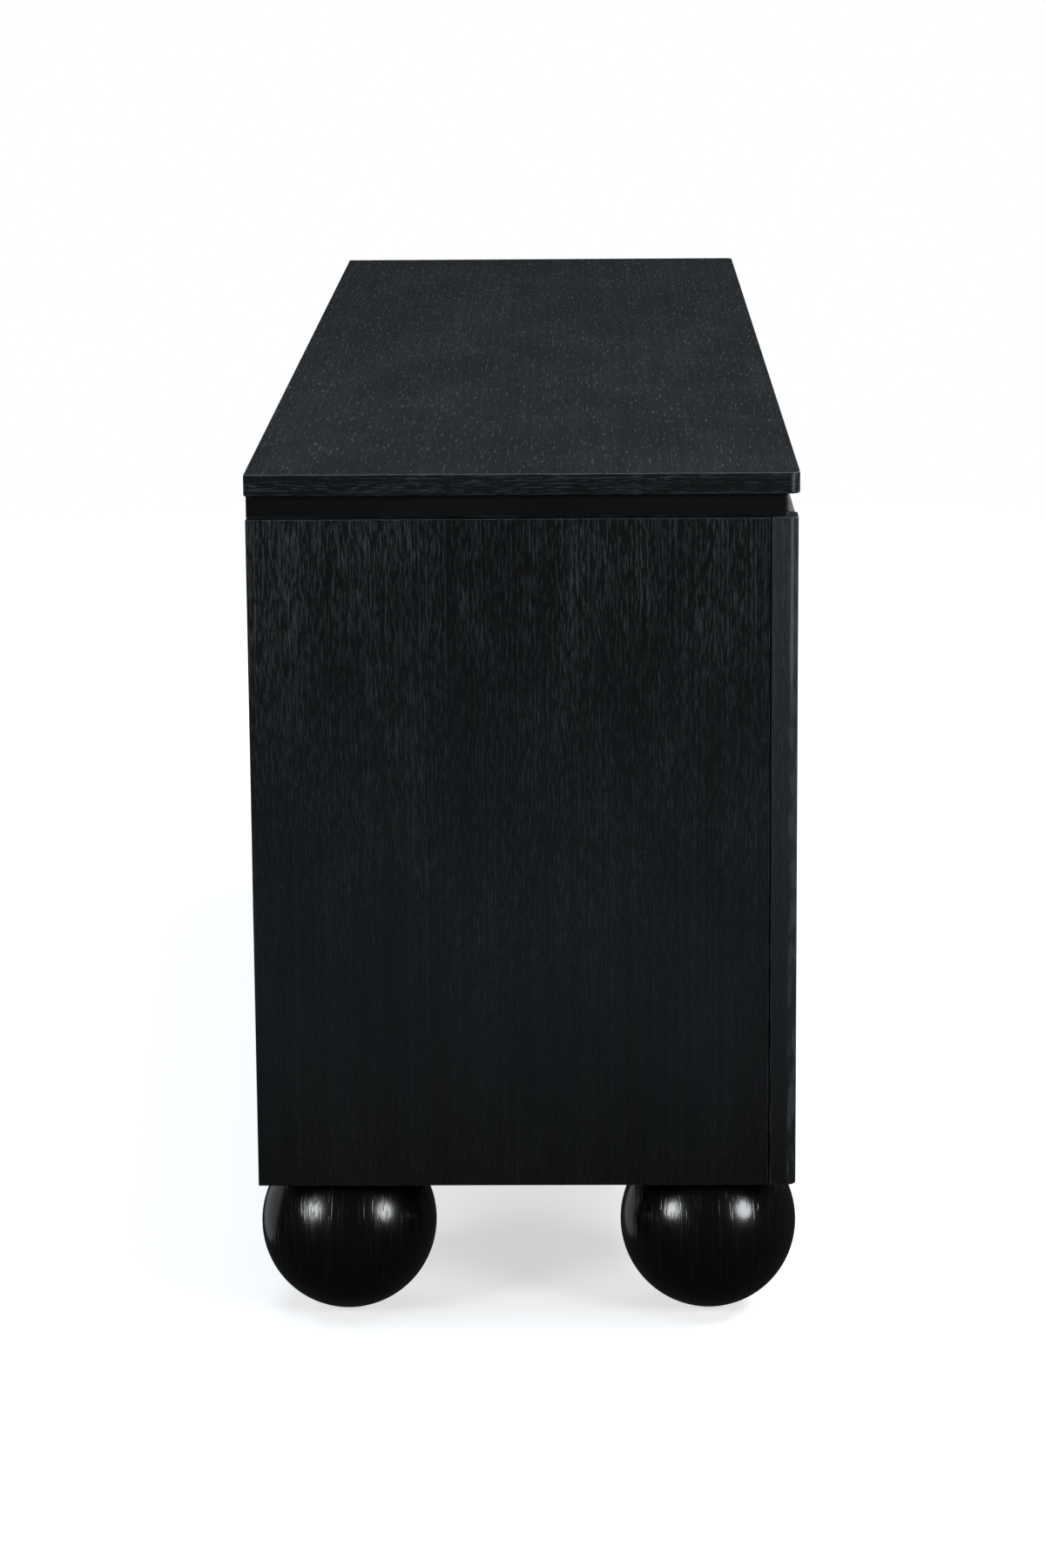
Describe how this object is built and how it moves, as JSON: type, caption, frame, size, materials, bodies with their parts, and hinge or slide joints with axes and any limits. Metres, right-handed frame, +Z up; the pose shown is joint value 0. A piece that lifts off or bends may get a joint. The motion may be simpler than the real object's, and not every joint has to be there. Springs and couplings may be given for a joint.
{
  "type": "dresser with drawers",
  "caption": "Long low dresser in black brushed oak on ball feet, with a recessed strip under its top and drawers in two columns.",
  "frame": {"origin": "on the floor, under the middle of the case", "axes": "+Z up, +X along the length, the drawers face and open towards -Y"},
  "size_m": [1.531, 0.464, 0.7445],
  "materials": {
    "brushed_black_oak": "satin, open brushed grain",
    "turned_black_wood": "semi-gloss lacquer",
    "back_board": "matt painted hardboard",
    "drawer_wood": "satin lacquered solid poplar",
    "drawer_ply": "satin lacquered plywood",
    "zinc_steel": "bright zinc plate"
  },
  "bodies": {
    "case": {"top_panel": "brushed_black_oak", "riser_left": "brushed_black_oak", "riser_right": "brushed_black_oak", "riser_front": "brushed_black_oak", "riser_back": "brushed_black_oak", "sub_top": "brushed_black_oak", "bottom_panel": "brushed_black_oak", "back_panel": "back_board", "partition": "brushed_black_oak", "centre_stile": "brushed_black_oak", "side_panel_left": "brushed_black_oak", "end_stile_left": "brushed_black_oak", "ball_foot_front_left": "turned_black_wood", "ball_foot_back_left": "turned_black_wood", "side_panel_right": "brushed_black_oak", "end_stile_right": "brushed_black_oak", "ball_foot_front_right": "turned_black_wood", "ball_foot_back_right": "turned_black_wood", "bottom_left_case_slide_l": "zinc_steel", "bottom_left_case_slide_r": "zinc_steel", "middle_left_case_slide_l": "zinc_steel", "middle_left_case_slide_r": "zinc_steel", "top_left_case_slide_l": "zinc_steel", "top_left_case_slide_r": "zinc_steel", "bottom_right_case_slide_l": "zinc_steel", "bottom_right_case_slide_r": "zinc_steel", "middle_right_case_slide_l": "zinc_steel", "middle_right_case_slide_r": "zinc_steel", "top_right_case_slide_l": "zinc_steel", "top_right_case_slide_r": "zinc_steel"},
    "bottom_left_drawer": {"bottom_left_front": "brushed_black_oak", "bottom_left_box": "drawer_wood", "bottom_left_base": "drawer_ply", "bottom_left_drawer_slide_l": "zinc_steel", "bottom_left_drawer_slide_r": "zinc_steel"},
    "middle_left_drawer": {"middle_left_front": "brushed_black_oak", "middle_left_box": "drawer_wood", "middle_left_base": "drawer_ply", "middle_left_drawer_slide_l": "zinc_steel", "middle_left_drawer_slide_r": "zinc_steel"},
    "top_left_drawer": {"top_left_front": "brushed_black_oak", "top_left_box": "drawer_wood", "top_left_base": "drawer_ply", "top_left_drawer_slide_l": "zinc_steel", "top_left_drawer_slide_r": "zinc_steel"},
    "bottom_right_drawer": {"bottom_right_front": "brushed_black_oak", "bottom_right_box": "drawer_wood", "bottom_right_base": "drawer_ply", "bottom_right_drawer_slide_l": "zinc_steel", "bottom_right_drawer_slide_r": "zinc_steel"},
    "middle_right_drawer": {"middle_right_front": "brushed_black_oak", "middle_right_box": "drawer_wood", "middle_right_base": "drawer_ply", "middle_right_drawer_slide_l": "zinc_steel", "middle_right_drawer_slide_r": "zinc_steel"},
    "top_right_drawer": {"top_right_front": "brushed_black_oak", "top_right_box": "drawer_wood", "top_right_base": "drawer_ply", "top_right_drawer_slide_l": "zinc_steel", "top_right_drawer_slide_r": "zinc_steel"}
  },
  "joints": [
    {"name": "bottom_left_drawer_slide", "type": "slide", "parent": "case", "child": "bottom_left_drawer", "axis": [0, -1, 0], "range_m": [0, 0.285]},
    {"name": "middle_left_drawer_slide", "type": "slide", "parent": "case", "child": "middle_left_drawer", "axis": [0, -1, 0], "range_m": [0, 0.285]},
    {"name": "top_left_drawer_slide", "type": "slide", "parent": "case", "child": "top_left_drawer", "axis": [0, -1, 0], "range_m": [0, 0.285]},
    {"name": "bottom_right_drawer_slide", "type": "slide", "parent": "case", "child": "bottom_right_drawer", "axis": [0, -1, 0], "range_m": [0, 0.285]},
    {"name": "middle_right_drawer_slide", "type": "slide", "parent": "case", "child": "middle_right_drawer", "axis": [0, -1, 0], "range_m": [0, 0.285]},
    {"name": "top_right_drawer_slide", "type": "slide", "parent": "case", "child": "top_right_drawer", "axis": [0, -1, 0], "range_m": [0, 0.285]}
  ]
}
